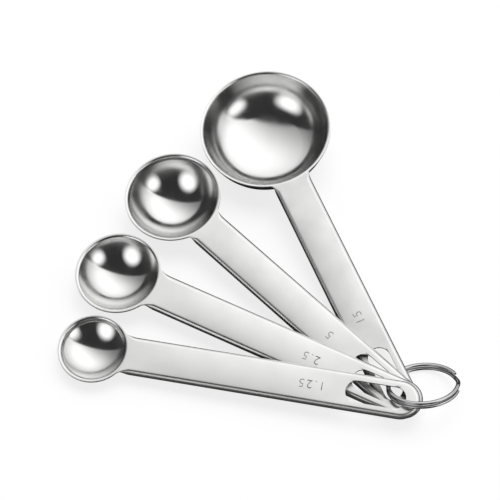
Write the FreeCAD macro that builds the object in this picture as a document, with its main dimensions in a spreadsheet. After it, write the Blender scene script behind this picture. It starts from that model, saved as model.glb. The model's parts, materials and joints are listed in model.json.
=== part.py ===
import FreeCAD, Part
import math
import os

import Sketcher
from FreeCAD import Placement, Rotation, Vector

# Four measuring spoons on a split ring, fanned out on a table. Millimetres and degrees, +Z up.
# Each spoon is one stamped sheet: a round bowl with a narrow flat rim, and a handle level with the
# rim whose edges are turned down into a skirt. The handles lie on each other, the largest spoon
# lowest, and the ring's two turns of wire climb through their slots.

DOCUMENT = "measuring_spoons"
RING = "split_ring"

# What all spoons share, and the ring.
COMMON_SIZES = (
    ("sheet_thickness", 0.7, "the stamped sheet"),
    ("rim_flange", 1.1, "flat rim round the mouth of a bowl"),
    ("handle_width", 13.0, "handle from side to side"),
    ("handle_depth", 1.75, "top of a handle to the lower edge of its skirt"),
    ("bend_radius", 1.5, "outside of the skirt's bend"),
    ("skirt_land", 0.1, "least straight part of the skirt below its bend"),
    ("slot_width", 7.5, "hanging slot from side to side"),
    ("slot_length", 19.7, "hanging slot from end to end"),
    ("end_wall", 4.5, "from the slot to the tip of the handle"),
    ("stack_gap", 0.25, "free height between stacked handles"),
    ("ring_radius", 11.25, "ring's middle to the middle of its wire"),
    ("wire_across", 1.4, "wire measured outwards from the ring's middle"),
    ("wire_along", 1.0, "wire measured along the ring's axis"),
    ("turn_gap", 0.45, "free space between the two turns"),
    ("crossover_turn", 40.0, "part of a turn in which the wire changes sides"),
    ("ring_lean", 36.0, "ring's plane against the handles"),
    ("ring_heading", 5.0, "turn of the ring's low side towards +X"),
    ("ring_drop", 0.25, "ring's middle below the middle of the stack"),
)

# The spoons from the bottom of the stack to its top.
SPOON_FIELDS = (
    ("rim_radius", "outer edge of the rim"),
    ("bowl_depth", "inside, below the rim"),
    ("corner_radius", "inside, where wall and bottom meet"),
    ("neck_radius", "hollow corner between rim and handle"),
    ("reach", "middle of the bowl to the tip of the handle"),
    ("wire_slack", "wire to the middle of the slot's round end"),
    ("heading", "direction from the bowl to the tip"),
)
SPOONS = {
    "tablespoon": (22.5, 14.7, 13.35, 1.5, 114.0, 3.7, -76.1),
    "teaspoon": (16.3, 11.3, 4.5, 1.5, 109.7, 1.3, -54.2),
    "half_teaspoon": (14.35, 8.1, 1.0, 3.0, 110.7, 2.9, -36.1),
    "quarter_teaspoon": (11.7, 5.8, 2.6, 3.0, 107.8, 0.1, -20.8),
}

FULL_TURN = 360.0
QUARTER_TURN = FULL_TURN / 4
ARCS_PER_TURN = 4
TESSELLATION = 0.02
SAME_LEVEL = 0.01
SETTLING_STEPS = 30
CAPACITY_SLICES = 2000
GAP_SAMPLES = 60
START, END, MIDDLE = range(1, 4)
X_AXIS, Y_AXIS = -1, -2
ORIGIN = (-1, 1)


def make_sheet(doc):
    """The driving dimensions, one named cell each."""
    sheet = doc.addObject("Spreadsheet::Sheet", "Sizes")
    rows = list(COMMON_SIZES)
    for spoon, values in SPOONS.items():
        for (field, note), value in zip(SPOON_FIELDS, values):
            rows.append((f"{spoon}_{field}", value, note))
    for row, (alias, value, note) in enumerate(rows, start=1):
        sheet.set(f"A{row}", note)
        sheet.set(f"B{row}", str(value))
        sheet.setAlias(f"B{row}", alias)
    doc.recompute()
    return sheet


class SpoonSizes:
    """One spoon's sizes, as numbers and as the cells that they come from."""

    def __init__(self, sheet, spoon):
        self.spoon = spoon
        for alias, _, _ in COMMON_SIZES:
            setattr(self, alias, float(getattr(sheet, alias)))
        for field, _ in SPOON_FIELDS:
            setattr(self, field, float(getattr(sheet, f"{spoon}_{field}")))
        self.mouth_radius = self.rim_radius - self.rim_flange
        self.slot_end = self.reach - self.end_wall - self.slot_width / 2
        self.hook = self.slot_end - self.wire_slack

    def cell(self, field):
        return f"Sizes.{self.spoon}_{field}"

    def bottom_radius(self):
        """Radius of the bowl's bottom, which runs smoothly into the corner."""
        inset = self.mouth_radius - self.corner_radius
        depth = self.bowl_depth
        corner = self.corner_radius
        return (inset**2 + depth**2 - corner**2) / (2 * (depth - corner))

    def inner_radius(self, height):
        """Inside radius of the bowl at a height, where the rim is at 0."""
        bottom = self.bottom_radius()
        middle = bottom - self.bowl_depth
        inset = self.mouth_radius - self.corner_radius
        join = middle * (1 - bottom / (bottom - self.corner_radius))
        if height < join:
            return math.sqrt(max(bottom**2 - (height - middle) ** 2, 0.0))
        return inset + math.sqrt(max(self.corner_radius**2 - height**2, 0.0))

    def capacity(self):
        """Millilitres up to the rim."""
        step = self.bowl_depth / CAPACITY_SLICES
        heights = [-self.bowl_depth + (i + 0.5) * step for i in range(CAPACITY_SLICES)]
        return sum(math.pi * self.inner_radius(z) ** 2 * step for z in heights) / 1000


def add_sketch(body, name, role, height_cell=None):
    """A sketch on one of the body's own planes, at a height that a cell gives."""
    sketch = body.newObject("Sketcher::SketchObject", name)
    plane = next(f for f in body.Origin.OriginFeatures if f.Role == role)
    sketch.AttachmentSupport = (plane, [""])
    sketch.MapMode = "FlatFace"
    if height_cell:
        sketch.setExpression("AttachmentOffset.Base.z", height_cell)
    return sketch


def bind(sketch, name, expression, *constraint):
    """A dimension of a sketch that follows the sheet."""
    index = sketch.addConstraint(Sketcher.Constraint(*constraint))
    sketch.renameConstraint(index, name)
    sketch.setExpression(f"Constraints.{name}", expression)


def tie(sketch, *constraint):
    sketch.addConstraint(Sketcher.Constraint(*constraint))


def arc(x, y, radius, first, last):
    circle = Part.Circle(Vector(x, y, 0), Vector(0, 0, 1), radius)
    return Part.ArcOfCircle(circle, first, last)


def line(x0, y0, x1, y1):
    return Part.LineSegment(Vector(x0, y0, 0), Vector(x1, y1, 0))


def draw_handle(sketch, size, inset, inset_cell):
    """The handle in plan: hollow corners at the rim, straight sides and a round tip."""
    rim = size.rim_radius - inset
    half = size.handle_width / 2 - inset
    neck = size.neck_radius + inset
    tip = size.reach - size.handle_width / 2
    neck_x = math.sqrt((rim + neck) ** 2 - (half + neck) ** 2)
    lean = math.atan2(half + neck, neck_x)
    touch_x = rim * math.cos(lean)
    touch_y = rim * math.sin(lean)
    lower_neck = sketch.addGeometry(arc(neck_x, -half - neck, neck, math.pi / 2, math.pi - lean))
    lower_side = sketch.addGeometry(line(neck_x, -half, tip, -half))
    tip_end = sketch.addGeometry(arc(tip, 0, half, -math.pi / 2, math.pi / 2))
    upper_side = sketch.addGeometry(line(tip, half, neck_x, half))
    upper_neck = sketch.addGeometry(arc(neck_x, half + neck, neck, lean - math.pi, -math.pi / 2))
    chord = sketch.addGeometry(line(touch_x, touch_y, touch_x, -touch_y))
    rim_line = sketch.addGeometry(Part.Circle(Vector(0, 0, 0), Vector(0, 0, 1), rim), True)
    tie(sketch, "Tangent", lower_neck, START, lower_side, START)
    tie(sketch, "Tangent", lower_side, END, tip_end, START)
    tie(sketch, "Tangent", tip_end, END, upper_side, START)
    tie(sketch, "Tangent", upper_side, END, upper_neck, END)
    tie(sketch, "Coincident", chord, START, upper_neck, START)
    tie(sketch, "Coincident", chord, END, lower_neck, END)
    tie(sketch, "Horizontal", lower_side)
    tie(sketch, "Horizontal", upper_side)
    tie(sketch, "PointOnObject", tip_end, MIDDLE, X_AXIS)
    tie(sketch, "Coincident", rim_line, MIDDLE, *ORIGIN)
    tie(sketch, "Tangent", lower_neck, END, rim_line)
    tie(sketch, "Tangent", upper_neck, START, rim_line)
    tie(sketch, "Equal", lower_neck, upper_neck)
    less = f" - {inset_cell}" if inset_cell else ""
    more = f" + {inset_cell}" if inset_cell else ""
    bind(sketch, "rim", size.cell("rim_radius") + less, "Radius", rim_line, rim)
    bind(sketch, "neck", size.cell("neck_radius") + more, "Radius", lower_neck, neck)
    bind(sketch, "half_width", "Sizes.handle_width / 2" + less, "Radius", tip_end, half)
    tip_place = f"{size.cell('reach')} - Sizes.handle_width / 2"
    bind(sketch, "tip_middle", tip_place, "DistanceX", *ORIGIN, tip_end, MIDDLE, tip)


def draw_slot(sketch, size):
    """The hanging slot in plan, round at both ends."""
    half = size.slot_width / 2
    far = size.slot_end
    near = far - size.slot_length + size.slot_width
    far_end = sketch.addGeometry(arc(far, 0, half, -math.pi / 2, math.pi / 2))
    upper = sketch.addGeometry(line(far, half, near, half))
    near_end = sketch.addGeometry(arc(near, 0, half, math.pi / 2, 3 * math.pi / 2))
    lower = sketch.addGeometry(line(near, -half, far, -half))
    tie(sketch, "Tangent", far_end, END, upper, START)
    tie(sketch, "Tangent", upper, END, near_end, START)
    tie(sketch, "Tangent", near_end, END, lower, START)
    tie(sketch, "Tangent", lower, END, far_end, START)
    tie(sketch, "PointOnObject", far_end, MIDDLE, X_AXIS)
    tie(sketch, "PointOnObject", near_end, MIDDLE, X_AXIS)
    bind(sketch, "half_width", "Sizes.slot_width / 2", "Radius", far_end, half)
    far_place = f"{size.cell('reach')} - Sizes.end_wall - Sizes.slot_width / 2"
    bind(sketch, "far_middle", far_place, "DistanceX", *ORIGIN, far_end, MIDDLE, far)
    run = "Sizes.slot_length - Sizes.slot_width"
    bind(sketch, "run", run, "DistanceX", near_end, MIDDLE, far_end, MIDDLE, far - near)


def draw_bowl_curve(sketch, size, wall, wall_cell, corner_end):
    """Bottom and corner of the bowl in section, the given wall outside its inner face."""
    middle = size.bottom_radius() - size.bowl_depth
    bottom_radius = size.bottom_radius() + wall
    corner_radius = size.corner_radius + wall
    corner_x = size.mouth_radius - size.corner_radius
    join = math.atan2(-middle, corner_x)
    bottom = sketch.addGeometry(arc(0, middle, bottom_radius, -math.pi / 2, join))
    corner = sketch.addGeometry(arc(corner_x, 0, corner_radius, join, corner_end))
    tie(sketch, "Tangent", bottom, END, corner, START)
    tie(sketch, "PointOnObject", bottom, MIDDLE, Y_AXIS)
    tie(sketch, "PointOnObject", corner, MIDDLE, X_AXIS)
    more = f" + {wall_cell}" if wall_cell else ""
    corner_place = f"{size.cell('rim_radius')} - Sizes.rim_flange - {size.cell('corner_radius')}"
    bind(sketch, "corner", size.cell("corner_radius") + more, "Radius", corner, corner_radius)
    bind(sketch, "corner_x", corner_place, "DistanceX", *ORIGIN, corner, MIDDLE, corner_x)
    depth = size.bowl_depth + wall
    bind(sketch, "depth", size.cell("bowl_depth") + more, "DistanceY", bottom, START, *ORIGIN, depth)
    return bottom, corner


def draw_bowl_outside(sketch, size):
    """The bowl's outside with its rim, in half section up to the axis."""
    wall = size.sheet_thickness
    corner_radius = size.corner_radius + wall
    corner_end = -math.asin(wall / corner_radius)
    bottom, corner = draw_bowl_curve(sketch, size, wall, "Sizes.sheet_thickness", corner_end)
    wall_x = size.mouth_radius - size.corner_radius + corner_radius * math.cos(corner_end)
    rim = size.rim_radius
    under_rim = sketch.addGeometry(line(wall_x, -wall, rim, -wall))
    rim_edge = sketch.addGeometry(line(rim, -wall, rim, 0))
    top = sketch.addGeometry(line(rim, 0, 0, 0))
    axis = sketch.addGeometry(line(0, 0, 0, -size.bowl_depth - wall))
    tie(sketch, "Coincident", corner, END, under_rim, START)
    tie(sketch, "Coincident", under_rim, END, rim_edge, START)
    tie(sketch, "Coincident", rim_edge, END, top, START)
    tie(sketch, "Coincident", top, END, axis, START)
    tie(sketch, "Coincident", axis, END, bottom, START)
    tie(sketch, "Coincident", axis, START, *ORIGIN)
    tie(sketch, "Horizontal", under_rim)
    tie(sketch, "Vertical", rim_edge)
    tie(sketch, "Horizontal", top)
    tie(sketch, "Vertical", axis)
    bind(sketch, "rim", size.cell("rim_radius"), "DistanceX", *ORIGIN, rim_edge, END, rim)
    bind(sketch, "rim_height", "Sizes.sheet_thickness", "DistanceY", rim_edge, START, rim_edge, END, wall)


def draw_bowl_inside(sketch, size):
    """The bowl's hollow in half section, with a head above the rim that clears the handle."""
    bottom, corner = draw_bowl_curve(sketch, size, 0.0, None, 0.0)
    mouth = size.mouth_radius
    head = size.sheet_thickness
    wall = sketch.addGeometry(line(mouth, 0, mouth, head))
    lid = sketch.addGeometry(line(mouth, head, 0, head))
    axis = sketch.addGeometry(line(0, head, 0, -size.bowl_depth))
    tie(sketch, "Tangent", corner, END, wall, START)
    tie(sketch, "Coincident", wall, END, lid, START)
    tie(sketch, "Coincident", lid, END, axis, START)
    tie(sketch, "Coincident", axis, END, bottom, START)
    tie(sketch, "PointOnObject", axis, START, Y_AXIS)
    tie(sketch, "Vertical", wall)
    tie(sketch, "Horizontal", lid)
    tie(sketch, "Vertical", axis)
    bind(sketch, "head", "Sizes.sheet_thickness", "DistanceY", wall, START, wall, END, head)


def edges_at_height(shape, height, closing_x):
    """Names of the edges that lie at a height, without the closing edge at the bowl's end."""
    names = []
    for number, edge in enumerate(shape.Edges, start=1):
        box = edge.BoundBox
        level = abs(box.ZMin - height) < SAME_LEVEL and abs(box.ZMax - height) < SAME_LEVEL
        closing = box.XMax < closing_x + SAME_LEVEL
        if level and not closing:
            names.append(f"Edge{number}")
    return names


def add_fillet(body, base, name, edges, radius_cell):
    fillet = body.newObject("PartDesign::Fillet", name)
    fillet.Base = (base, edges)
    fillet.setExpression("Radius", radius_cell)
    body.Document.recompute()
    return fillet


def add_turned(body, kind, name, sketch):
    """A solid or a hollow of revolution about the bowl's axis."""
    turned = body.newObject(kind, name)
    turned.Profile = sketch
    turned.ReferenceAxis = (sketch, ["V_Axis"])
    turned.Angle = FULL_TURN
    body.Document.recompute()
    return turned


def add_pocket(body, name, sketch, length_cell, upwards=False):
    """A pocket, which has to take material away."""
    before = body.Shape.Volume
    pocket = body.newObject("PartDesign::Pocket", name)
    pocket.Profile = sketch
    pocket.setExpression("Length", length_cell)
    pocket.Reversed = upwards
    body.Document.recompute()
    if body.Shape.Volume >= before:
        raise RuntimeError(f"{body.Label}: {name} cuts nothing")
    return pocket


def make_spoon(doc, sheet, spoon):
    """One stamped spoon, bowl at the origin, rim at height 0, handle along +X."""
    size = SpoonSizes(sheet, spoon)
    body = doc.addObject("PartDesign::Body", spoon)
    body.Label = spoon

    plan = add_sketch(body, f"{spoon}_plan", "XY_Plane")
    draw_handle(plan, size, 0.0, None)
    handle = body.newObject("PartDesign::Pad", f"{spoon}_handle")
    handle.Profile = plan
    handle.Reversed = True
    handle.setExpression("Length", "Sizes.handle_depth")
    doc.recompute()
    chord_x = min(vertex.X for vertex in handle.Shape.Vertexes)
    top_edges = edges_at_height(handle.Shape, 0.0, chord_x)
    bend = "min(Sizes.bend_radius; Sizes.handle_depth - Sizes.skirt_land)"
    add_fillet(body, handle, f"{spoon}_bend", top_edges, bend)

    hollow_plan = add_sketch(body, f"{spoon}_hollow_plan", "XY_Plane", "-Sizes.handle_depth")
    draw_handle(hollow_plan, size, size.sheet_thickness, "Sizes.sheet_thickness")
    depth_cell = "Sizes.handle_depth - Sizes.sheet_thickness"
    hollow = add_pocket(body, f"{spoon}_hollow", hollow_plan, depth_cell, upwards=True)
    roof_edges = edges_at_height(hollow.Shape, -size.sheet_thickness, chord_x)
    add_fillet(body, hollow, f"{spoon}_inner_bend", roof_edges, f"{bend} - Sizes.sheet_thickness")

    outside = add_sketch(body, f"{spoon}_bowl_section", "XZ_Plane")
    draw_bowl_outside(outside, size)
    add_turned(body, "PartDesign::Revolution", f"{spoon}_bowl", outside)
    inside = add_sketch(body, f"{spoon}_mouth_section", "XZ_Plane")
    draw_bowl_inside(inside, size)
    add_turned(body, "PartDesign::Groove", f"{spoon}_mouth", inside)

    slot_plan = add_sketch(body, f"{spoon}_slot_plan", "XY_Plane")
    draw_slot(slot_plan, size)
    add_pocket(body, f"{spoon}_slot", slot_plan, "Sizes.handle_depth")
    return body, size


def ring_point(radius, angle, height):
    turn = math.radians(angle)
    return Vector(radius * math.cos(turn), radius * math.sin(turn), height)


def turn_arcs(radius, height, first, last):
    """One flat turn of the wire as equal arcs."""
    step = (last - first) / ARCS_PER_TURN
    arcs = []
    for number in range(ARCS_PER_TURN):
        angle = first + number * step
        points = [ring_point(radius, angle + share * step, height) for share in (0, 0.5, 1)]
        arcs.append(Part.Arc(*points))
    return arcs


def tangent_points(start, direction, end):
    """Three points of the arc that leaves start in a direction and ends at end."""
    chord = end - start
    inwards = chord - direction * chord.dot(direction)
    inwards.normalize()
    radius = chord.Length**2 / (2 * chord.dot(inwards))
    centre = start + inwards * radius
    half_way = (start - centre) + (end - centre)
    half_way.normalize()
    return [start, centre + half_way * radius, end]


def ring_path(size):
    """Two turns side by side, joined where the wire changes sides on the ring's +X side."""
    side = (size.wire_along + size.turn_gap) / 2
    radius = size.ring_radius
    half = size.crossover_turn / 2
    leave = ring_point(radius, -half, side)
    arrive = ring_point(radius, half, -side)
    between = Vector(math.hypot(radius, side), 0, 0)
    forwards = ring_point(1.0, QUARTER_TURN - half, 0)
    backwards = ring_point(1.0, half - QUARTER_TURN, 0)
    upper = turn_arcs(radius, side, half, FULL_TURN - half)
    lower = turn_arcs(radius, -side, half, FULL_TURN - half)
    first = tangent_points(leave, forwards, between)
    second = reversed(tangent_points(arrive, backwards, between))
    return upper + [Part.Arc(*first), Part.Arc(*second)] + lower


def least_gap(path, size):
    """Free space between strands of the wire that lie over each other, measured on points."""
    points = []
    for arc_curve in path:
        first, last = arc_curve.FirstParameter, arc_curve.LastParameter
        step = (last - first) / GAP_SAMPLES
        points += [arc_curve.value(first + number * step) for number in range(GAP_SAMPLES)]
    half_turn = GAP_SAMPLES * ARCS_PER_TURN // 2
    nearest = min(
        (point - other).Length
        for index, point in enumerate(points)
        for other in points[index + half_turn:]
    )
    return nearest - size.wire_along


def make_ring(doc, size):
    """The split ring, flat on its own plane round the origin."""
    path = ring_path(size)
    start = path[0].value(path[0].FirstParameter)
    outwards = Vector(start.x, start.y, 0)
    outwards.normalize()
    across = start + outwards * (size.wire_across / 2)
    along = start + Vector(0, 0, size.wire_along / 2)
    section = Part.Wire([Part.Ellipse(across, along, start).toShape()])
    spine = Part.Wire([curve.toShape() for curve in path])
    wire = spine.makePipeShell([section], True, False)
    ring = doc.addObject("Part::Feature", RING)
    ring.Label = RING
    ring.Shape = wire
    expected = math.pi / 4 * size.wire_across * size.wire_along * spine.Length
    print(f"ring: wire {spine.Length:.1f} long, gap between turns {least_gap(path, size):.3f}, "
          f"volume {wire.Volume:.2f} of {expected:.2f}")
    return ring


def fan_places(sizes):
    """Places of the ring and the spoons while the handles are level, ring middle at the origin."""
    any_size = next(iter(sizes.values()))
    pitch = any_size.handle_depth + any_size.stack_gap
    levels = {spoon: index * pitch for index, spoon in enumerate(sizes)}
    stack_middle = sum(levels.values()) / len(levels) - any_size.sheet_thickness / 2
    ring_height = stack_middle - any_size.ring_drop
    lean = math.radians(any_size.ring_lean)
    heading = Rotation(Vector(0, 0, 1), -any_size.ring_heading)
    tilt = Rotation(Vector(1, 0, 0), -any_size.ring_lean)
    places = {RING: Placement(Vector(0, 0, ring_height), heading.multiply(tilt))}
    crossings = {}
    for spoon, size in sizes.items():
        height = levels[spoon] - size.sheet_thickness / 2
        sine = (ring_height - height) / (size.ring_radius * math.sin(lean))
        cosine = math.sqrt(1 - sine**2)
        in_plan = Vector(-size.ring_radius * cosine, size.ring_radius * sine * math.cos(lean), 0)
        crossing = heading.multVec(in_plan) + Vector(0, 0, height)
        turn = Rotation(Vector(0, 0, 1), size.heading)
        middle = crossing - turn.multVec(Vector(size.hook, 0, 0))
        middle.z = levels[spoon]
        places[spoon] = Placement(middle, turn)
        crossings[spoon] = crossing
    return places, crossings


def surface_points(shape, place):
    return [place.multVec(point) for point in shape.tessellate(TESSELLATION)[0]]


def table_normal(points, supports):
    """Direction that stands square on the table when the set lies on three supports."""
    up = Vector(0, 0, 1)
    for _ in range(SETTLING_STEPS):
        first, second, third = (min(points[name], key=up.dot) for name in supports)
        up = (second - first).cross(third - first)
        up.normalize()
        if up.z < 0:
            up = up * -1
    return up


def lying_turn(points):
    """The turn that lays the set on its ring, its largest bowl and the other bowl that holds it."""
    largest, *others = SPOONS
    normals = {other: table_normal(points, (largest, other, RING)) for other in others}

    def clearance(other):
        lowest = {name: min(map(normals[other].dot, group)) for name, group in points.items()}
        return min(lowest.values()) - lowest[other]

    holder = max(others, key=clearance)
    print(f"the set lies on {largest}, {holder} and {RING}")
    return Rotation(normals[holder], Vector(0, 0, 1))


def middle_of_base(points):
    """Middle of the underside of the box round all points."""
    xs = [point.x for point in points]
    ys = [point.y for point in points]
    lowest = min(point.z for point in points)
    return Vector((min(xs) + max(xs)) / 2, (min(ys) + max(ys)) / 2, lowest)


def lay_down(parts, places):
    """Turns the fan so that it lies on the table, with the origin under the middle of the set."""
    points = {name: surface_points(part.Shape, places[name]) for name, part in parts.items()}
    turn = lying_turn(points)
    turned = {name: [turn.multVec(p) for p in group] for name, group in points.items()}
    base = middle_of_base([point for group in turned.values() for point in group])
    lying = Placement(base * -1, turn)
    for name, part in parts.items():
        part.Placement = lying.multiply(places[name])
        lowest = min(point.z for point in turned[name]) - base.z
        print(f"{name}: lowest point {lowest:.2f} above the table")
    return lying


def check(doc, parts):
    """Stops at any object that failed and any sub-part without a sound solid."""
    for item in doc.Objects:
        if {"Invalid", "Error"} & set(item.State):
            raise RuntimeError(f"{item.Name} failed: {item.State}")
    for name, part in parts.items():
        shape = part.Shape
        if shape.isNull() or not shape.isValid() or len(shape.Solids) != 1:
            raise RuntimeError(f"{name} is not one valid solid")


def build():
    doc = FreeCAD.newDocument(DOCUMENT)
    sheet = make_sheet(doc)
    parts = {}
    sizes = {}
    for spoon in SPOONS:
        parts[spoon], sizes[spoon] = make_spoon(doc, sheet, spoon)
        print(f"{spoon}: holds {sizes[spoon].capacity():.2f} ml")
    parts[RING] = make_ring(doc, next(iter(sizes.values())))
    doc.recompute()
    check(doc, parts)
    places, crossings = fan_places(sizes)
    lying = lay_down(parts, places)
    doc.recompute()
    check(doc, parts)
    os.makedirs("parts", exist_ok=True)
    for name, part in parts.items():
        part.Shape.exportStep(f"parts/{name}.step")
    axis = lying.Rotation.multVec(Vector(0, 0, 1))
    print(f"swing axis {axis.x:.5f} {axis.y:.5f} {axis.z:.5f}")
    for spoon, crossing in crossings.items():
        pivot = lying.multVec(crossing)
        print(f"{spoon}: swings at {pivot.x:.3f} {pivot.y:.3f} {pivot.z:.3f}")
    return parts


build()
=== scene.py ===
"""Dresses a set of measuring spoons and their split ring around the fixed model of the set."""

import json
import math

import bmesh
import bpy
from bpy.props import (
    FloatProperty,
    FloatVectorProperty,
    PointerProperty,
)
from mathutils import Matrix, Vector


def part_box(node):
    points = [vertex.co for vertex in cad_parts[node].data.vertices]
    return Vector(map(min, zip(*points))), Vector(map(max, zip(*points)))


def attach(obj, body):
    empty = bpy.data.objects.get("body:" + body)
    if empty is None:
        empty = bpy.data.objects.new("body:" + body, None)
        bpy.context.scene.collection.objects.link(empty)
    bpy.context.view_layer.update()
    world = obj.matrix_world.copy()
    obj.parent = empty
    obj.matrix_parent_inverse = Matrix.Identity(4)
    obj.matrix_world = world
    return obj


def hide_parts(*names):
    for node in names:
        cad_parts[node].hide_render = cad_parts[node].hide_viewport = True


bl_info = {
    "name": "Measuring spoon set",
    "version": (1, 0, 0),
    "blender": (4, 5, 0),
    "location": "View3D > Sidebar > Spoons",
    "description": "Stamped measuring spoons on a split ring, and a stage to show them on",
    "category": "Add Mesh",
}

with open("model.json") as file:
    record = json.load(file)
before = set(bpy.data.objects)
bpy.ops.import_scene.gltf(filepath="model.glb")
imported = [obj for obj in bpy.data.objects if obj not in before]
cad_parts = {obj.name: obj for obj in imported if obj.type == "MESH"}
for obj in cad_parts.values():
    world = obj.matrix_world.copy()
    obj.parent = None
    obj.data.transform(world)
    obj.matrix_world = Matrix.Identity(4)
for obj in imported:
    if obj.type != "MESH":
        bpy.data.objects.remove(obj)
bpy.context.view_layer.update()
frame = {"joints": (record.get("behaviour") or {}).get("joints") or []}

# The spoons in the order in which their handles are stacked, with the measure that each handle shows.
FIGURES = {"tablespoon": "15", "teaspoon": "5", "half_teaspoon": "2.5", "quarter_teaspoon": "1.25"}
SPOONS = tuple(FIGURES)
RING = "split_ring"
UP = Vector((0.0, 0.0, 1.0))

# How finely the sheet is divided.
BOTTOM_STEPS = 22
CORNER_STEPS = 12
LIP_STEPS = 5
FLANGE_STEPS = 2
RIM_STEPS = 120
NECK_STEPS = 8
SIDE_STEPS = 44
SLOT_STEPS = 14
TIP_STEPS = 24
BEND_STEPS = 6
BORDER_COLUMNS = 2
SLOT_END_COLUMNS = 12
COLUMNS = SLOT_END_COLUMNS + 2 * BORDER_COLUMNS

# How finely the ring is divided.
WIRE_SIDES = 20
TURN_STEPS = 128
CROSSOVER_STEPS = 16

# Shares and runs that shape the sheet.
CROWN_RUN = 0.02
FLAT_NECK_SHARE = 0.3
BOTTOM_SHARE = 0.68
BULGE_REACH = 4
NECK_REACH = 2
SLOT_REACH = 3
SHEET_EDGE_ANGLE = math.radians(50)
WIRE_EDGE_ANGLE = math.radians(60)
EDGE_SEGMENTS = 2
WIRE_EDGE_SHARE = 0.1

# Figures: spacing, thinning of the strokes, rise above the sheet and thickness, as shares.
FIGURE_SPACING = 1.25
FIGURE_THINNING = 0.012
FIGURE_RISE_SHARE = 1 / 8
FIGURE_ROOT_SHARE = 1 / 2

# Finishes: widths of the changes between them, scales of the noise, limits of the roughness.
RIM_BLUR = 0.04
BOTTOM_BLUR = 0.1
BRUSH_SCALE = (420.0, 6.0, 1.0)
BRUSH_DETAIL = 4.0
BRUSH_ROUGHNESS = 0.6
SPUN_SCALE = 260.0
SPUN_DETAIL = 3.0
SMUDGE_SCALE = 14.0
SMUDGE_DETAIL = 5.0
SMUDGE_LIMITS = (0.3, 0.7)
SMUDGE_SPREAD = 0.03
GRAIN_STRENGTH = 0.04
GRAIN_DEPTH = 0.0001
FIGURE_METALLIC = 0.8
FIGURE_SCALE = 2500.0
FIGURE_DETAIL = 3.0
FIGURE_POLISH = (0.4, 0.6)
FIGURE_LIGHTER = 1.3
WIRE_SCALE = 900.0
WIRE_DETAIL = 4.0
WIRE_POLISH = (0.06, 0.2)
WIRE_DARKER = 0.94

# Stage: sizes in metres, and limits of the tent's light by the cosine of the direction.
FLOOR_HALF = 4.0
FLOOR_DROP = 0.0002
CARD_RADIUS = 0.3
CARD_SIDES = 64
TENT_RADIUS = 1.6
TENT_SEGMENTS = (64, 32)
STAGE_ROUGHNESS = 0.9
EDGE_LIMITS = (-0.03, 0.06)
SLOPE_LIMITS = (-0.5, 0.55)
HEIGHT_LIMITS = (0.2, 0.95)
HEIGHT_LIGHT = (0.5, 1.0)
RIGHT_LAMP_LIMITS = (0.92, 1.0)
LEFT_LAMP_LIMITS = (0.88, 1.0)
LAMP_LIGHT = (0.0, 1.5)

MERGE = 1e-6
PLAN_UNIT = 0.1
PLAN_MAP = "plan"
GRAIN_MAP = "grain"
BLACK = (0.0, 0.0, 0.0, 1.0)
WHITE = (1.0, 1.0, 1.0, 1.0)
COLOUR_A, COLOUR_B, COLOUR_RESULT = 6, 7, 2


def smooth(share):
    """Eases from 0 to 1."""
    share = min(max(share, 0.0), 1.0)
    return share * share * (3 - 2 * share)


class SheetSizes(bpy.types.PropertyGroup):
    """What all spoons share."""

    thickness: FloatProperty(name="Thickness", description="The stamped sheet", default=0.0007, unit="LENGTH")
    flange: FloatProperty(name="Flange", description="Flat rim round a bowl", default=0.0011, unit="LENGTH")
    lip: FloatProperty(name="Lip", description="Rounding of a bowl's mouth", default=0.0009, unit="LENGTH")
    width: FloatProperty(name="Width", description="Handle from side to side", default=0.013, unit="LENGTH")
    depth: FloatProperty(name="Depth", description="Handle with its skirt", default=0.00175, unit="LENGTH")
    bend: FloatProperty(name="Bend", description="Outside of the skirt's bend", default=0.0015, unit="LENGTH")
    fade: FloatProperty(name="Fade", description="Skirt's growth past the neck", default=0.002, unit="LENGTH")
    crown: FloatProperty(name="Crown", description="Rise of a handle's middle", default=0.0002, unit="LENGTH")
    slot_width: FloatProperty(
        name="Slot width", description="Slot, side to side", default=0.0075, unit="LENGTH")
    slot_length: FloatProperty(
        name="Slot length", description="Slot, end to end", default=0.0197, unit="LENGTH")
    end_wall: FloatProperty(name="End wall", description="Slot to the tip", default=0.0045, unit="LENGTH")
    edge: FloatProperty(
        name="Edge", description="Largest rounding of the sheet's edges", default=0.00016, unit="LENGTH")
    figure: FloatProperty(
        name="Figures", description="Size of the struck figures", default=0.0042, unit="LENGTH")


class SpoonSizes(bpy.types.PropertyGroup):
    """Sizes of the spoons, one value each, from the bottom of the stack to its top."""

    rim: FloatVectorProperty(
        name="Rim", description="Radius of the rim's outer edge",
        size=4, default=(0.0225, 0.0163, 0.01435, 0.0117), unit="LENGTH")
    bowl: FloatVectorProperty(
        name="Bowl", description="Depth of the bowl",
        size=4, default=(0.0147, 0.0113, 0.0081, 0.0058), unit="LENGTH")
    corner: FloatVectorProperty(
        name="Corner", description="Radius between wall and bottom",
        size=4, default=(0.01335, 0.0045, 0.001, 0.0026), unit="LENGTH")
    neck: FloatVectorProperty(
        name="Neck", description="Hollow corner between rim and handle",
        size=4, default=(0.0015, 0.0015, 0.003, 0.003), unit="LENGTH")
    reach: FloatVectorProperty(
        name="Reach", description="Middle of the bowl to the tip of the handle",
        size=4, default=(0.114, 0.1097, 0.1107, 0.1078), unit="LENGTH")
    slack: FloatVectorProperty(
        name="Slack", description="Wire to the middle of the slot's round end",
        size=4, default=(0.0037, 0.0013, 0.0029, 0.0001), unit="LENGTH")
    heading: FloatVectorProperty(
        name="Heading", description="Direction from the bowl to the tip",
        size=4, default=tuple(math.radians(a) for a in (-76.1, -54.2, -36.1, -20.8)), unit="ROTATION")
    figure_gap: FloatVectorProperty(
        name="Figure gap", description="Slot to the first figure",
        size=4, default=(0.0096, 0.0104, 0.0117, 0.0065), unit="LENGTH")


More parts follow.
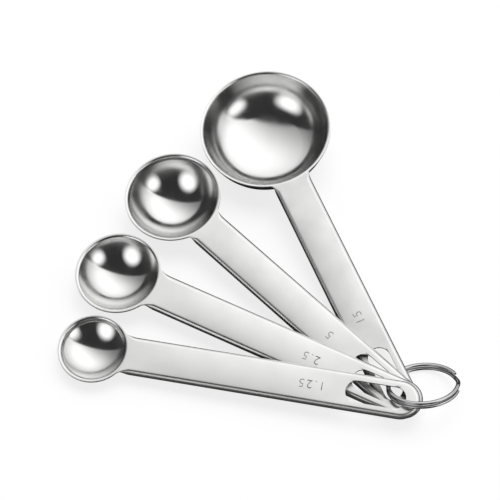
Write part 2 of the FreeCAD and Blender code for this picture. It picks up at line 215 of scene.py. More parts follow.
class RingSizes(bpy.types.PropertyGroup):
    """The split ring."""

    radius: FloatProperty(name="Radius", description="Middle of the wire", default=0.01125, unit="LENGTH")
    across: FloatProperty(name="Across", description="Wire, outwards", default=0.0014, unit="LENGTH")
    along: FloatProperty(name="Along", description="Wire, along the axis", default=0.001, unit="LENGTH")
    gap: FloatProperty(name="Gap", description="Space between the turns", default=0.00045, unit="LENGTH")
    crossover: FloatProperty(
        name="Crossover", description="Part of a turn in which the wire changes sides",
        default=math.radians(40), unit="ROTATION")
    lean: FloatProperty(
        name="Lean", description="Ring's plane against the handles",
        default=math.radians(36), unit="ROTATION")
    heading: FloatProperty(
        name="Heading", description="Turn of the ring's low side", default=math.radians(5), unit="ROTATION")


class Finishes(bpy.types.PropertyGroup):
    """Colours and polish."""

    steel: FloatVectorProperty(
        name="Steel", description="Polished sheet", size=3, default=(0.80, 0.80, 0.795), subtype="COLOR")
    steel_dull: FloatVectorProperty(
        name="Dull steel", description="Handled places of the sheet",
        size=3, default=(0.76, 0.76, 0.755), subtype="COLOR")
    wire: FloatVectorProperty(
        name="Wire", description="Plated wire of the ring",
        size=3, default=(0.56, 0.56, 0.56), subtype="COLOR")
    # The figures' dark colour is painted shade of struck grooves; the figures themselves stand a little proud
    # of the sheet.
    figure: FloatVectorProperty(
        name="Figures", description="Ground of the struck figures",
        size=3, default=(0.34, 0.34, 0.34), subtype="COLOR")
    bottom_polish: FloatProperty(
        name="Bottom", description="Roughness of a bowl's bottom", default=0.09, min=0, max=1)
    bowl_polish: FloatProperty(
        name="Bowl", description="Roughness of a bowl's wall", default=0.15, min=0, max=1)
    direction: FloatProperty(
        name="Direction", description="Share of directed polish", default=0.92, min=0, max=1)
    handle_polish: FloatProperty(
        name="Handle", description="Roughness of the handles", default=0.31, min=0, max=1)


class StageSettings(bpy.types.PropertyGroup):
    """Camera, lamps and floor."""

    target: FloatVectorProperty(
        name="Target", description="Point that the camera looks at",
        size=3, default=(0.00446, 0.00191, 0.00866), subtype="TRANSLATION")
    azimuth: FloatProperty(
        name="Azimuth", description="Camera to the left of the front",
        default=math.radians(6.985), unit="ROTATION")
    elevation: FloatProperty(
        name="Elevation", description="Camera above the table", default=math.radians(56.986), unit="ROTATION")
    roll: FloatProperty(
        name="Roll", description="Clockwise turn of the camera", default=math.radians(2.29), unit="ROTATION")
    distance: FloatProperty(name="Distance", description="Camera to target", default=0.66973, unit="LENGTH")
    lens: FloatProperty(name="Lens", description="Focal length in millimetres", default=144.0)
    floor: FloatVectorProperty(
        name="Floor", description="Colour of the floor", size=3, default=(0.95, 0.95, 0.95), subtype="COLOR")
    # The dark card is seen only in reflections: painted shade under the set, darker than the floor's own
    # shadow there.
    card: FloatVectorProperty(
        name="Card", description="Colour of the dark card",
        size=3, default=(0.06, 0.06, 0.06), subtype="COLOR")
    glow: FloatProperty(name="Glow", description="Share of the floor's own white", default=0.8, min=0, max=1)
    edge: FloatVectorProperty(
        name="Edge", description="Direction from the tent's dark half to its bright half",
        size=3, default=(0.406, 0.902, 0.144), subtype="DIRECTION")
    slope: FloatVectorProperty(
        name="Slope", description="Direction in which the bright half grows brighter",
        size=3, default=(0.77, 0.63, 0.0), subtype="DIRECTION")
    dark: FloatProperty(name="Dark", description="Strength of the tent's dark half", default=0.035)
    bright: FloatVectorProperty(
        name="Bright", description="Strength of the bright half at its two sides",
        size=2, default=(0.3, 1.45))
    right_lamp: FloatVectorProperty(
        name="Right lamp", description="Direction of the small soft lamp",
        size=3, default=(0.63, -0.66, 0.40), subtype="DIRECTION")
    left_lamp: FloatVectorProperty(
        name="Left lamp", description="Direction of the large soft lamp",
        size=3, default=(-0.73, -0.53, 0.42), subtype="DIRECTION")
    lamp: FloatVectorProperty(
        name="Lamp", description="Place of the lamp that lights the floor",
        size=3, default=(0.2, 0.3, 1.2), subtype="TRANSLATION")
    lamp_size: FloatProperty(name="Lamp size", description="Side of the lamp", default=0.8, unit="LENGTH")
    lamp_power: FloatProperty(name="Lamp power", description="Power of the lamp in watts", default=8.0)


class SpoonSet(bpy.types.PropertyGroup):
    """All settings of the set."""

    sheet: PointerProperty(type=SheetSizes)
    spoons: PointerProperty(type=SpoonSizes)
    ring: PointerProperty(type=RingSizes)
    finishes: PointerProperty(type=Finishes)
    stage: PointerProperty(type=StageSettings)


def fan_turn():
    """The turn from upright to the common normal of the stacked handles, about which they swing."""
    axis = Vector(frame["joints"][0]["axis"])
    normal = axis if axis.z > 0 else -axis
    return UP.rotation_difference(normal).to_matrix().to_4x4()


class SpoonPlan:
    """One spoon in its own frame: bowl at the origin, rim at height 0, handle along +X."""

    def __init__(self, settings, spoon):
        index = SPOONS.index(spoon)
        self.spoon = spoon
        self.sheet = settings.sheet
        for field in ("rim", "bowl", "corner", "neck", "reach", "slack", "heading", "figure_gap"):
            setattr(self, field, getattr(settings.spoons, field)[index])
        sheet = settings.sheet
        self.half = sheet.width / 2
        self.top_half = self.half - sheet.bend
        self.slot_half = sheet.slot_width / 2
        self.mouth = self.rim - sheet.flange
        self.tip = self.reach - self.half
        self.far = self.reach - sheet.end_wall - self.slot_half
        self.near = self.far - sheet.slot_length + sheet.slot_width
        self.bottom_edge = self.mouth * BOTTOM_SHARE
        self.neck_x = math.sqrt((self.rim + self.neck) ** 2 - (self.half + self.neck) ** 2)
        self.lean = math.atan2(self.half + self.neck, self.neck_x)
        self.neck_run = self.neck * (math.pi / 2 - self.lean)

    def place(self):
        """Where the fixed model holds this spoon."""
        joint = next(j for j in frame["joints"] if j["child"] == self.spoon)
        turn = fan_turn() @ Matrix.Rotation(self.heading, 4, "Z")
        hook = Vector((self.far - self.slack, 0.0, -self.sheet.thickness / 2))
        return Matrix.Translation(Vector(joint["pos_m"]) - turn @ hook) @ turn

    def crown_at(self, x, y):
        """Height of the handle's top, which is level at the bowl, at its edges and round the slot."""
        share = smooth((x - self.neck_x) / CROWN_RUN) * smooth((self.near - self.slot_half - x) / CROWN_RUN)
        return self.sheet.crown * share * (1 - min(abs(y) / self.top_half, 1.0) ** 2)

    def bowl_profile(self):
        """Half section of the bowl's inside, from its middle to the outer edge of the rim."""
        corner_x = self.mouth - self.corner
        bottom = (corner_x**2 + self.bowl**2 - self.corner**2) / (2 * (self.bowl - self.corner))
        middle = bottom - self.bowl
        join = math.atan2(-middle, corner_x)
        lip = self.sheet.lip
        contact = -math.asin(lip / (self.corner + lip))
        lip_x = corner_x + math.sqrt((self.corner + lip) ** 2 - lip**2)
        points = arc_points((0.0, middle), bottom, -math.pi / 2, join, BOTTOM_STEPS)
        points += arc_points((corner_x, 0.0), self.corner, join, contact, CORNER_STEPS)[1:]
        points += arc_points((lip_x, -lip), lip, math.pi + contact, math.pi / 2, LIP_STEPS)[1:]
        for step in range(1, FLANGE_STEPS + 1):
            points.append((lip_x + (self.rim - lip_x) * step / FLANGE_STEPS, 0.0))
        return points

    def skirt_share(self, run):
        """Share of the full skirt, at a distance along the edge from where the neck leaves the rim."""
        start = self.neck_run * FLAT_NECK_SHARE
        return smooth((run - start) / (self.neck_run - start + self.sheet.fade))

    def lower_side(self):
        """Stations along the handle's -Y edge: point, direction inwards, share of the full skirt."""
        stations = []
        for step in range(NECK_STEPS):
            share = step / NECK_STEPS
            angle = math.pi - self.lean + share * (self.lean - math.pi / 2)
            inwards = Vector((math.cos(angle), math.sin(angle)))
            middle = Vector((self.neck_x, -self.half - self.neck))
            stations.append((middle + inwards * self.neck, inwards, self.skirt_share(share * self.neck_run)))
        inwards = Vector((0.0, 1.0))
        for first, last, steps in ((self.neck_x, self.near, SIDE_STEPS), (self.near, self.tip, SLOT_STEPS)):
            for step in range(steps):
                x = first + (last - first) * step / steps
                share = self.skirt_share(self.neck_run + x - self.neck_x)
                stations.append((Vector((x, -self.half)), inwards, share))
        return stations

    def edge_stations(self):
        """Stations round the whole handle, from neck to neck past the tip."""
        lower = self.lower_side()
        tip = []
        for step in range(TIP_STEPS + 1):
            angle = math.pi * (step / TIP_STEPS - 0.5)
            outwards = Vector((math.cos(angle), math.sin(angle)))
            tip.append((Vector((self.tip, 0.0)) + outwards * self.half, -outwards, 1.0))
        flip = Vector((1.0, -1.0))
        upper = [(point * flip, inwards * flip, share) for point, inwards, share in reversed(lower)]
        return lower + tip + upper


def arc_points(middle, radius, first, last, steps):
    """Points of an arc, both ends included."""
    angles = [first + (last - first) * step / steps for step in range(steps + 1)]
    return [(middle[0] + radius * math.cos(a), middle[1] + radius * math.sin(a)) for a in angles]


def add_patch(bm, columns, rows, where):
    """A grid of faces whose corners lie where a function of column and row says."""
    made = bmesh.ops.create_grid(bm, x_segments=columns, y_segments=rows, size=0.5)
    for vert in made["verts"]:
        column = round((vert.co.x + 0.5) * columns)
        row = round((vert.co.y + 0.5) * rows)
        vert.co = where(column, row)


def add_bowl(bm, plan):
    """The bowl's inside and its rim, turned in two parts so that the neck's corners are on the rim."""
    verts = [bm.verts.new((x, 0.0, z)) for x, z in plan.bowl_profile()]
    edges = [bm.edges.new(pair) for pair in zip(verts, verts[1:])]
    bmesh.ops.rotate(bm, verts=verts, cent=(0, 0, 0), matrix=Matrix.Rotation(-plan.lean, 3, "Z"))
    geometry = verts + edges
    for angle, steps in ((2 * plan.lean, COLUMNS), (2 * (math.pi - plan.lean), RIM_STEPS)):
        turned = bmesh.ops.spin(
            bm, geom=geometry, cent=(0, 0, 0), axis=UP, angle=angle, steps=steps, use_merge=False)
        geometry = turned["geom_last"]


def add_skirt(bm, plan):
    """The bend and the skirt round the handle, which die away at the rim."""
    stations = plan.edge_stations()
    bend = plan.sheet.bend
    lanes = []
    for step in range(BEND_STEPS + 1):
        angle = math.pi / 2 * step / BEND_STEPS
        lanes.append((bend * (1 - math.sin(angle)), bend * (1 - math.cos(angle))))
    lanes.append((0.0, plan.sheet.depth))

    def where(column, row):
        point, inwards, share = stations[column]
        inset, drop = lanes[row]
        flat = point + inwards * inset * share
        return Vector((flat.x, flat.y, -drop * share))

    add_patch(bm, len(stations) - 1, len(lanes) - 1, where)


def slot_angle(column):
    """Angle on the slot's round end of a column of the handle's top."""
    return math.pi * ((column - BORDER_COLUMNS) / SLOT_END_COLUMNS - 0.5)


def add_top(bm, plan):
    """The handle's top from the rim to the slot."""
    stations = plan.lower_side()
    rows = NECK_STEPS + SIDE_STEPS
    bulge = plan.rim * (1 - math.cos(plan.lean))
    bulge_run = BULGE_REACH * bulge + NECK_REACH * plan.neck
    slot_run = SLOT_REACH * plan.slot_half
    start = stations[0][0].x

    def border(column):
        """Share of the top's half width, in the columns beside the slot."""
        outside = min(column, COLUMNS - column) / BORDER_COLUMNS
        share = 1 + (plan.slot_half / plan.top_half - 1) * outside
        return share if column > COLUMNS / 2 else -share

    def where(column, row):
        point, inwards, share = stations[row]
        end = point + inwards * plan.sheet.bend * share
        angle = plan.lean * (2 * column / COLUMNS - 1)
        at_rim = math.sin(angle) / math.sin(plan.lean)
        beside = column < BORDER_COLUMNS or column > COLUMNS - BORDER_COLUMNS
        round_end = slot_angle(column)
        at_slot = border(column) if beside else math.sin(round_end) * plan.slot_half / plan.top_half
        mix = smooth(row / rows)
        y = -end.y * (at_rim + (at_slot - at_rim) * mix)
        rim_shape = (math.cos(angle) - math.cos(plan.lean)) / (1 - math.cos(plan.lean))
        x = end.x + bulge * max(0.0, 1 - (end.x - start) / bulge_run) ** 2 * rim_shape
        if not beside:
            x -= plan.slot_half * max(0.0, 1 - (plan.near - end.x) / slot_run) ** 2 * math.cos(round_end)
        return Vector((x, y, plan.crown_at(x, y) if 0 < row < rows else 0.0))

    add_patch(bm, COLUMNS, rows, where)


def add_slot_border(bm, plan):
    """The level strip between the slot and the bend."""
    stations = plan.edge_stations()
    first = NECK_STEPS + SIDE_STEPS
    count = 2 * SLOT_STEPS + TIP_STEPS

    def slot_edge(column):
        if column <= SLOT_STEPS or column >= SLOT_STEPS + TIP_STEPS:
            share = min(column, count - column) / SLOT_STEPS
            side = -1 if column <= SLOT_STEPS else 1
            return Vector((plan.near + (plan.far - plan.near) * share, side * plan.slot_half))
        angle = math.pi * ((column - SLOT_STEPS) / TIP_STEPS - 0.5)
        return Vector((plan.far + plan.slot_half * math.cos(angle), plan.slot_half * math.sin(angle)))

    def where(column, row):
        point, inwards, _ = stations[first + column]
        outer = point + inwards * plan.sheet.bend
        flat = slot_edge(column).lerp(outer, row / BORDER_COLUMNS)
        return flat.to_3d()

    add_patch(bm, count, BORDER_COLUMNS, where)


def map_plan(bm):
    """Keeps each corner's place on the flat spoon, for finishes that follow the sheet."""
    layer = bm.loops.layers.uv.new(PLAN_MAP)
    for face in bm.faces:
        for loop in face.loops:
            loop[layer].uv = loop.vert.co.xy / PLAN_UNIT


def map_grain(bm, plan):
    """Lays U across the lines of the polish, which go round the bowl and across the handle."""
    layer = bm.loops.layers.uv.new(GRAIN_MAP)
    for face in bm.faces:
        middle = face.calc_center_median().xy
        for loop in face.loops:
            flat = loop.vert.co.xy
            if middle.length < plan.rim:
                turn = middle.angle_signed(flat) if flat.length > MERGE else 0.0
                loop[layer].uv = (flat.length / PLAN_UNIT, turn)
            else:
                outwards = (flat - Vector((min(flat.x, plan.tip), 0.0))).normalized()
                unrolled = flat - outwards * min(loop.vert.co.z, 0.0)
                loop[layer].uv = unrolled / PLAN_UNIT


def add_piece(bm, name, place, material):
    """A finished mesh as an object at the origin, with its place in its mesh."""
    bmesh.ops.transform(bm, matrix=place, verts=bm.verts)
    mesh = bpy.data.meshes.new(name)
    bm.to_mesh(mesh)
    bm.free()
    mesh.shade_smooth()
    mesh.materials.append(material)
    piece = bpy.data.objects.new(name, mesh)
    bpy.context.scene.collection.objects.link(piece)
    return piece


def finish_sheet(piece, sheet):
    """Gives the sheet its thickness and bevels its edges.

    The bevel stays far below its set width, which the short faces at the start of the skirt limit.
    """
    wall = piece.modifiers.new("sheet", "SOLIDIFY")
    wall.thickness = sheet.thickness
    wall.offset = -1
    wall.use_even_offset = True
    wall.use_quality_normals = True
    edge = piece.modifiers.new("edges", "BEVEL")
    edge.width = sheet.edge
    edge.segments = EDGE_SEGMENTS
    edge.limit_method = "ANGLE"
    edge.angle_limit = SHEET_EDGE_ANGLE
    piece.modifiers.new("normals", "WEIGHTED_NORMAL")


def new_material(name):
    """A material with its node tree and its shader."""
    material = bpy.data.materials.new(name)
    material.use_nodes = True
    tree = material.node_tree
    return material, tree, tree.nodes["Principled BSDF"]


def add_node(tree, kind, links=None, **values):
    """A node with its settings, and a link or a value for each input that is named."""
    node = tree.nodes.new(kind)
    for key, value in values.items():
        setattr(node, key, value)
    for socket, source in (links or {}).items():
        if hasattr(source, "links"):
            tree.links.new(source, node.inputs[socket])
        else:
            node.inputs[socket].default_value = source
    return node


def steel_material(plan, finishes):
    """Polished sheet: a bright spun bowl, and a handle brushed from side to side."""
    material, tree, shader = new_material(f"{plan.spoon}_steel")
    shader.inputs["Metallic"].default_value = 1.0
    shader.inputs["Anisotropic"].default_value = finishes.direction
    across = add_node(tree, "ShaderNodeTangent", direction_type="UV_MAP", uv_map=GRAIN_MAP)
    tree.links.new(across.outputs["Tangent"], shader.inputs["Tangent"])
    plan_map = add_node(tree, "ShaderNodeUVMap", uv_map=PLAN_MAP)
    radius = add_node(tree, "ShaderNodeVectorMath", {0: plan_map.outputs["UV"]}, operation="LENGTH")
    edge = (plan.mouth + plan.sheet.flange / 2) / PLAN_UNIT
    handle = add_node(tree, "ShaderNodeMapRange", {
        "Value": radius.outputs["Value"],
        "From Min": edge * (1 - RIM_BLUR), "From Max": edge * (1 + RIM_BLUR)})
    brush_map = add_node(tree, "ShaderNodeMapping", {
        "Vector": plan_map.outputs["UV"], "Scale": BRUSH_SCALE})
    brush = add_node(tree, "ShaderNodeTexNoise", {
        "Vector": brush_map.outputs["Vector"],
        "Scale": 1.0, "Detail": BRUSH_DETAIL, "Roughness": BRUSH_ROUGHNESS})
    rings_at = add_node(tree, "ShaderNodeCombineXYZ", {"X": radius.outputs["Value"]})
    rings = add_node(tree, "ShaderNodeTexNoise", {
        "Vector": rings_at.outputs["Vector"], "Scale": SPUN_SCALE, "Detail": SPUN_DETAIL})
    smudges = add_node(tree, "ShaderNodeTexNoise", {
        "Vector": plan_map.outputs["UV"], "Scale": SMUDGE_SCALE, "Detail": SMUDGE_DETAIL})
    grain = add_node(tree, "ShaderNodeMix", {
        "Factor": handle.outputs["Result"], "A": rings.outputs["Fac"], "B": brush.outputs["Fac"]})
    spread = add_node(tree, "ShaderNodeMapRange", {
        "Value": smudges.outputs["Fac"], "From Min": SMUDGE_LIMITS[0], "From Max": SMUDGE_LIMITS[1],
        "To Min": -SMUDGE_SPREAD, "To Max": SMUDGE_SPREAD})
    wall = add_node(tree, "ShaderNodeMapRange", {
        "Value": radius.outputs["Value"],
        "From Min": plan.bottom_edge * (1 - BOTTOM_BLUR) / PLAN_UNIT,
        "From Max": plan.bottom_edge * (1 + BOTTOM_BLUR) / PLAN_UNIT,
        "To Min": finishes.bottom_polish, "To Max": finishes.bowl_polish})
    base_polish = add_node(tree, "ShaderNodeMapRange", {
        "Value": handle.outputs["Result"],
        "To Min": wall.outputs["Result"], "To Max": finishes.handle_polish})
    polish = add_node(tree, "ShaderNodeMath", {
        0: base_polish.outputs["Result"], 1: spread.outputs["Result"]}, operation="ADD")
    tree.links.new(polish.outputs["Value"], shader.inputs["Roughness"])
    tint = add_node(tree, "ShaderNodeMix", data_type="RGBA")
    tree.links.new(smudges.outputs["Fac"], tint.inputs["Factor"])
    tint.inputs[COLOUR_A].default_value = (*finishes.steel, 1.0)
    tint.inputs[COLOUR_B].default_value = (*finishes.steel_dull, 1.0)
    tree.links.new(tint.outputs[COLOUR_RESULT], shader.inputs["Base Color"])
    bump = add_node(tree, "ShaderNodeBump", {
        "Height": grain.outputs["Result"], "Strength": GRAIN_STRENGTH, "Distance": GRAIN_DEPTH})
    tree.links.new(bump.outputs["Normal"], shader.inputs["Normal"])
    return material


def figure_shade_material(finishes):
    """Dull and uneven metal of the figures, whose dark colour is painted shade of struck grooves, as the
    figures stand a little proud of the sheet.
    """
    material, tree, shader = new_material("struck_figures_painted_shade")
    shader.inputs["Metallic"].default_value = FIGURE_METALLIC
    place = add_node(tree, "ShaderNodeTexCoord")
    noise = add_node(tree, "ShaderNodeTexNoise", {
        "Vector": place.outputs["Object"], "Scale": FIGURE_SCALE, "Detail": FIGURE_DETAIL})
    polish = add_node(tree, "ShaderNodeMapRange", {
        "Value": noise.outputs["Fac"], "To Min": FIGURE_POLISH[0], "To Max": FIGURE_POLISH[1]})
    tree.links.new(polish.outputs["Result"], shader.inputs["Roughness"])
    tint = add_node(tree, "ShaderNodeMix", data_type="RGBA")
    tree.links.new(noise.outputs["Fac"], tint.inputs["Factor"])
    # Dark colour: painted shade of struck grooves, with an uneven tone from the noise; the dull roughness is
    # the struck metal's own.
    tint.inputs[COLOUR_A].default_value = (*finishes.figure, 1.0)
    tint.inputs[COLOUR_B].default_value = (*(c * FIGURE_LIGHTER for c in finishes.figure), 1.0)
    tree.links.new(tint.outputs[COLOUR_RESULT], shader.inputs["Base Color"])
    return material


def wire_material(finishes):
    """Bright plated wire with fine marks all over."""
    material, tree, shader = new_material("plated_wire")
    shader.inputs["Metallic"].default_value = 1.0
    place = add_node(tree, "ShaderNodeTexCoord")
    marks = add_node(tree, "ShaderNodeTexNoise", {
        "Vector": place.outputs["Object"], "Scale": WIRE_SCALE, "Detail": WIRE_DETAIL})
    polish = add_node(tree, "ShaderNodeMapRange", {
        "Value": marks.outputs["Fac"], "To Min": WIRE_POLISH[0], "To Max": WIRE_POLISH[1]})
    tree.links.new(polish.outputs["Result"], shader.inputs["Roughness"])
    tint = add_node(tree, "ShaderNodeMix", data_type="RGBA")
    tree.links.new(marks.outputs["Fac"], tint.inputs["Factor"])
    tint.inputs[COLOUR_A].default_value = (*(c * WIRE_DARKER for c in finishes.wire), 1.0)
    tint.inputs[COLOUR_B].default_value = (*finishes.wire, 1.0)
    tree.links.new(tint.outputs[COLOUR_RESULT], shader.inputs["Base Color"])
    return material


class SPOONSET_OT_spoons(bpy.types.Operator):
    """Stamps the spoons: bowl, rim, handle, skirt and slot of one sheet each"""

    bl_idname = "spoonset.spoons"
    bl_label = "Add spoons"

    def execute(self, context):
        settings = context.scene.spoon_set
        for spoon in SPOONS:
            plan = SpoonPlan(settings, spoon)
            bm = bmesh.new()
            add_bowl(bm, plan)
            add_skirt(bm, plan)
            add_top(bm, plan)
            add_slot_border(bm, plan)
            bmesh.ops.remove_doubles(bm, verts=bm.verts, dist=MERGE)
            bmesh.ops.recalc_face_normals(bm, faces=bm.faces)
            if sum(face.normal.z * face.calc_area() for face in bm.faces) < 0:
                bmesh.ops.reverse_faces(bm, faces=bm.faces)
            map_plan(bm)
            map_grain(bm, plan)
            material = steel_material(plan, settings.finishes)
            piece = add_piece(bm, f"{spoon}_sheet", plan.place(), material)
            finish_sheet(piece, settings.sheet)
            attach(piece, spoon)
            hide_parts(spoon)
        return {"FINISHED"}


class SPOONSET_OT_figures(bpy.types.Operator):
    """Lays each spoon's measure on its handle in thin figures, to be read from the ring"""

    bl_idname = "spoonset.figures"
    bl_label = "Add figures"

    def execute(self, context):
        settings = context.scene.spoon_set
        sheet = settings.sheet
        # The figures' material paints the shade of struck grooves into their colour.
        material = figure_shade_material(settings.finishes)
        for spoon, text in FIGURES.items():
            plan = SpoonPlan(settings, spoon)
            curve = bpy.data.curves.new(f"{spoon}_text", "FONT")
            curve.body = text
            curve.size = sheet.figure
            curve.align_y = "CENTER"
            curve.space_character = FIGURE_SPACING
            curve.offset = -sheet.figure * FIGURE_THINNING
            writing = bpy.data.objects.new(f"{spoon}_text", curve)
            context.scene.collection.objects.link(writing)
            context.view_layer.update()
            shown = writing.evaluated_get(context.evaluated_depsgraph_get())
            flat = bpy.data.meshes.new_from_object(shown)
            bpy.data.objects.remove(writing)
            bm = bmesh.new()
            bm.from_mesh(flat)
            bpy.data.meshes.remove(flat)
            bmesh.ops.remove_doubles(bm, verts=bm.verts, dist=MERGE)
            start = Vector((plan.near - plan.slot_half - plan.figure_gap, 0.0, 0.0))
            lettering = Matrix.Translation(start) @ Matrix.Rotation(math.pi, 4, "Z")
            bmesh.ops.transform(bm, matrix=lettering, verts=bm.verts)
            bmesh.ops.recalc_face_normals(bm, faces=bm.faces)
            if sum(face.normal.z for face in bm.faces) < 0:
                bmesh.ops.reverse_faces(bm, faces=bm.faces)
            for vert in bm.verts:
                vert.co.z = plan.crown_at(vert.co.x, vert.co.y) + sheet.edge * FIGURE_RISE_SHARE
            piece = add_piece(bm, f"{spoon}_figures", plan.place(), material)
            root = piece.modifiers.new("root", "SOLIDIFY")
            root.thickness = sheet.edge * FIGURE_ROOT_SHARE
            root.offset = -1
            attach(piece, spoon)
        return {"FINISHED"}


class SPOONSET_OT_ring(bpy.types.Operator):
    """Winds the split ring: two turns of flattened wire that change sides once"""

    bl_idname = "spoonset.ring"
    bl_label = "Add ring"

    def execute(self, context):
        settings = context.scene.spoon_set
        ring = settings.ring
        side = (ring.along + ring.gap) / 2
        bm = bmesh.new()
        made = bmesh.ops.create_circle(bm, segments=WIRE_SIDES, radius=0.5)
        verts = made["verts"]
        bmesh.ops.scale(bm, vec=(ring.across, ring.along, 1.0), verts=verts)
        bmesh.ops.rotate(bm, verts=verts, cent=(0, 0, 0), matrix=Matrix.Rotation(math.pi / 2, 3, "X"))
        bmesh.ops.translate(bm, vec=(ring.radius, 0.0, side), verts=verts)
        bmesh.ops.rotate(bm, verts=verts, cent=(0, 0, 0), matrix=Matrix.Rotation(ring.crossover / 2, 3, "Z"))
        ends = [list(bm.edges)]
        geometry = verts + list(bm.edges)
        turn = 2 * math.pi - ring.crossover
        runs = [(turn, TURN_STEPS, 0.0)]
        for step in range(CROSSOVER_STEPS):
            share = smooth((step + 1) / CROSSOVER_STEPS) - smooth(step / CROSSOVER_STEPS)
            runs.append((ring.crossover / CROSSOVER_STEPS, 1, -2 * side * share))
        runs.append((turn, TURN_STEPS, 0.0))
        for angle, steps, shift in runs:
            spun = bmesh.ops.spin(
                bm, geom=geometry, cent=(0, 0, 0), axis=UP, dvec=(0, 0, shift), angle=angle, steps=steps,
                use_merge=False)
            geometry = spun["geom_last"]
        ends.append([item for item in geometry if isinstance(item, bmesh.types.BMEdge)])
        for rim in ends:
            bmesh.ops.edgeloop_fill(bm, edges=rim)
        bmesh.ops.recalc_face_normals(bm, faces=bm.faces)
        low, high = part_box(RING)
        lean = Matrix.Rotation(-ring.heading, 4, "Z") @ Matrix.Rotation(-ring.lean, 4, "X")
        place = Matrix.Translation((low + high) / 2) @ fan_turn() @ lean
        piece = add_piece(bm, "ring_wire_turns", place, wire_material(settings.finishes))
        edge = piece.modifiers.new("cut_ends", "BEVEL")
        edge.width = ring.along * WIRE_EDGE_SHARE
        edge.segments = EDGE_SEGMENTS
        edge.limit_method = "ANGLE"
        edge.angle_limit = WIRE_EDGE_ANGLE
        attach(piece, RING)
        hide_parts(RING)
        return {"FINISHED"}


def plain_material(name, colour):
    """A matt surface of the stage."""
    material, _, shader = new_material(name)
    shader.inputs["Base Color"].default_value = (*colour, 1.0)
    shader.inputs["Roughness"].default_value = STAGE_ROUGHNESS
    shader.inputs["Specular IOR Level"].default_value = 0.0
    return material


def add_stage_piece(bm, name, material):
    """A mesh of the stage, which isn't part of the set."""
    piece = add_piece(bm, name, Matrix.Identity(4), material)
    return piece


def floor_material(stage):
    """A white floor with the shadow of what lies on it."""
    material = plain_material("floor_card", stage.floor)
    tree = material.node_tree
    rays = add_node(tree, "ShaderNodeLightPath")
    seen = add_node(tree, "ShaderNodeMath", {
        0: rays.outputs["Is Camera Ray"], 1: rays.outputs["Is Glossy Ray"]}, operation="MAXIMUM")
    seen = add_node(tree, "ShaderNodeMath", {
        0: seen.outputs["Value"], 1: rays.outputs["Is Transmission Ray"]}, operation="MAXIMUM")
    share = add_node(tree, "ShaderNodeMath", {0: seen.outputs["Value"], 1: stage.glow}, operation="MULTIPLY")
    white = add_node(tree, "ShaderNodeEmission", {"Color": WHITE, "Strength": 1.0})
    mixed = add_node(tree, "ShaderNodeMixShader", {
        0: share.outputs["Value"],
        1: tree.nodes["Principled BSDF"].outputs["BSDF"],
        2: white.outputs["Emission"]})
    tree.links.new(mixed.outputs["Shader"], tree.nodes["Material Output"].inputs["Surface"])
    return material


def tent_material(stage):
    """Light of a studio tent: a bright half behind the set, a dark half in front, two soft lamps in it."""
    material, tree, shader = new_material("studio_tent")
    shader.inputs["Base Color"].default_value = BLACK
    shader.inputs["Specular IOR Level"].default_value = 0.0
    shader.inputs["Emission Color"].default_value = WHITE
    place = add_node(tree, "ShaderNodeTexCoord")
    ray = add_node(tree, "ShaderNodeVectorMath", {0: place.outputs["Object"]}, operation="NORMALIZE")

    def ramp(direction, limits, strengths):
        towards = add_node(tree, "ShaderNodeVectorMath", {
            0: ray.outputs["Vector"], 1: Vector(direction).normalized()}, operation="DOT_PRODUCT")
        node = add_node(tree, "ShaderNodeMapRange", {
            "Value": towards.outputs["Value"], "From Min": limits[0], "From Max": limits[1],
            "To Min": strengths[0], "To Max": strengths[1]}, interpolation_type="SMOOTHSTEP")
        return node.outputs["Result"]

    def join(operation, first, second):
        return add_node(tree, "ShaderNodeMath", {0: first, 1: second}, operation=operation).outputs["Value"]

    half = ramp(stage.edge, EDGE_LIMITS, (0.0, 1.0))
    bright = join("MULTIPLY", half, ramp(stage.slope, SLOPE_LIMITS, stage.bright))
    bright = join("MULTIPLY", bright, ramp(UP, HEIGHT_LIMITS, HEIGHT_LIGHT))
    right_lamp = ramp(stage.right_lamp, RIGHT_LAMP_LIMITS, LAMP_LIGHT)
    lamps = join("ADD", right_lamp, ramp(stage.left_lamp, LEFT_LAMP_LIMITS, LAMP_LIGHT))
    light = join("ADD", join("ADD", bright, lamps), stage.dark)
    tree.links.new(light, shader.inputs["Emission Strength"])
    return material


def add_lamp(stage):
    """A soft lamp that points at the set and lights the floor."""
    light = bpy.data.lights.new("top_lamp", "AREA")
    light.size = stage.lamp_size
    light.energy = stage.lamp_power
    lamp = bpy.data.objects.new("top_lamp", light)
    lamp.location = stage.lamp
    lamp.rotation_euler = (-Vector(stage.lamp)).to_track_quat("-Z", "Y").to_euler()
    lamp.visible_glossy = False
    bpy.context.scene.collection.objects.link(lamp)


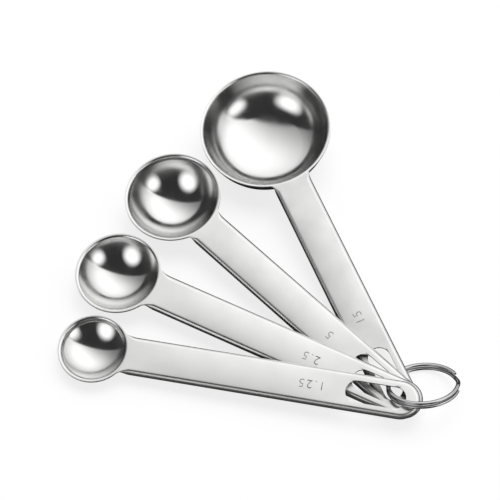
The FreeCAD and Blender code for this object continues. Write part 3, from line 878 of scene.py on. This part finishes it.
class SPOONSET_OT_stage(bpy.types.Operator):
    """Sets the floor, the dark card that paints shade into the sheet's reflections, the studio tent, the
    lamp, the white surroundings and the camera
    """

    bl_idname = "spoonset.stage"
    bl_label = "Add stage"

    def execute(self, context):
        stage = context.scene.spoon_set.stage
        bm = bmesh.new()
        bmesh.ops.create_grid(bm, x_segments=1, y_segments=1, size=FLOOR_HALF)
        bmesh.ops.translate(bm, vec=(0, 0, -FLOOR_DROP), verts=bm.verts)
        add_stage_piece(bm, "floor", floor_material(stage))

        # A dark card round the set, seen only in reflections: painted shade in the sheet where the floor
        # would be reflected.
        bm = bmesh.new()
        bmesh.ops.create_circle(bm, segments=CARD_SIDES, radius=CARD_RADIUS, cap_ends=True)
        card = add_stage_piece(bm, "painted_shade_card", plain_material("painted_shade_card", stage.card))
        card.visible_camera = False
        card.visible_diffuse = False
        card.visible_shadow = False

        bm = bmesh.new()
        around, upwards = TENT_SEGMENTS
        bmesh.ops.create_uvsphere(bm, u_segments=around, v_segments=upwards, radius=TENT_RADIUS)
        bmesh.ops.bisect_plane(
            bm, geom=bm.verts[:] + bm.edges[:] + bm.faces[:],
            plane_co=(0, 0, 0), plane_no=UP, clear_inner=True)
        tent = add_stage_piece(bm, "studio_tent", tent_material(stage))
        tent.visible_camera = False
        tent.visible_shadow = False

        add_lamp(stage)

        world = bpy.data.worlds.new("white_surroundings")
        world.use_nodes = True
        white = world.node_tree.nodes["Background"]
        white.inputs["Color"].default_value = WHITE
        white.inputs["Strength"].default_value = 1.0
        context.scene.world = world
        context.scene.view_settings.view_transform = "Standard"

        data = bpy.data.cameras.new("camera")
        data.lens = stage.lens
        camera = bpy.data.objects.new("camera", data)
        level = math.cos(stage.elevation)
        aside = -math.sin(stage.azimuth) * level
        forward = -math.cos(stage.azimuth) * level
        back = Vector((aside, forward, math.sin(stage.elevation)))
        camera.location = Vector(stage.target) + back * stage.distance
        turn = (-back).to_track_quat("-Z", "Y").to_matrix() @ Matrix.Rotation(-stage.roll, 3, "Z")
        camera.rotation_euler = turn.to_euler()
        context.scene.collection.objects.link(camera)
        context.scene.camera = camera
        return {"FINISHED"}


class SPOONSET_PT_panel(bpy.types.Panel):
    """Lists the steps that make the set"""

    bl_idname = "SPOONSET_PT_panel"
    bl_label = "Measuring spoon set"
    bl_space_type = "VIEW_3D"
    bl_region_type = "UI"
    bl_category = "Spoons"

    def draw(self, context):
        for operator in OPERATORS:
            self.layout.operator(operator.bl_idname)


OPERATORS = (SPOONSET_OT_spoons, SPOONSET_OT_figures, SPOONSET_OT_ring, SPOONSET_OT_stage)
GROUPS = (SheetSizes, SpoonSizes, RingSizes, Finishes, StageSettings, SpoonSet)
CLASSES = (*GROUPS, *OPERATORS, SPOONSET_PT_panel)


def register():
    for item in CLASSES:
        bpy.utils.register_class(item)
    bpy.types.Scene.spoon_set = PointerProperty(type=SpoonSet)


def unregister():
    del bpy.types.Scene.spoon_set
    for item in reversed(CLASSES):
        bpy.utils.unregister_class(item)


def main():
    register()
    bpy.ops.spoonset.spoons()
    bpy.ops.spoonset.figures()
    bpy.ops.spoonset.ring()
    bpy.ops.spoonset.stage()


if __name__ == "__main__":
    main()
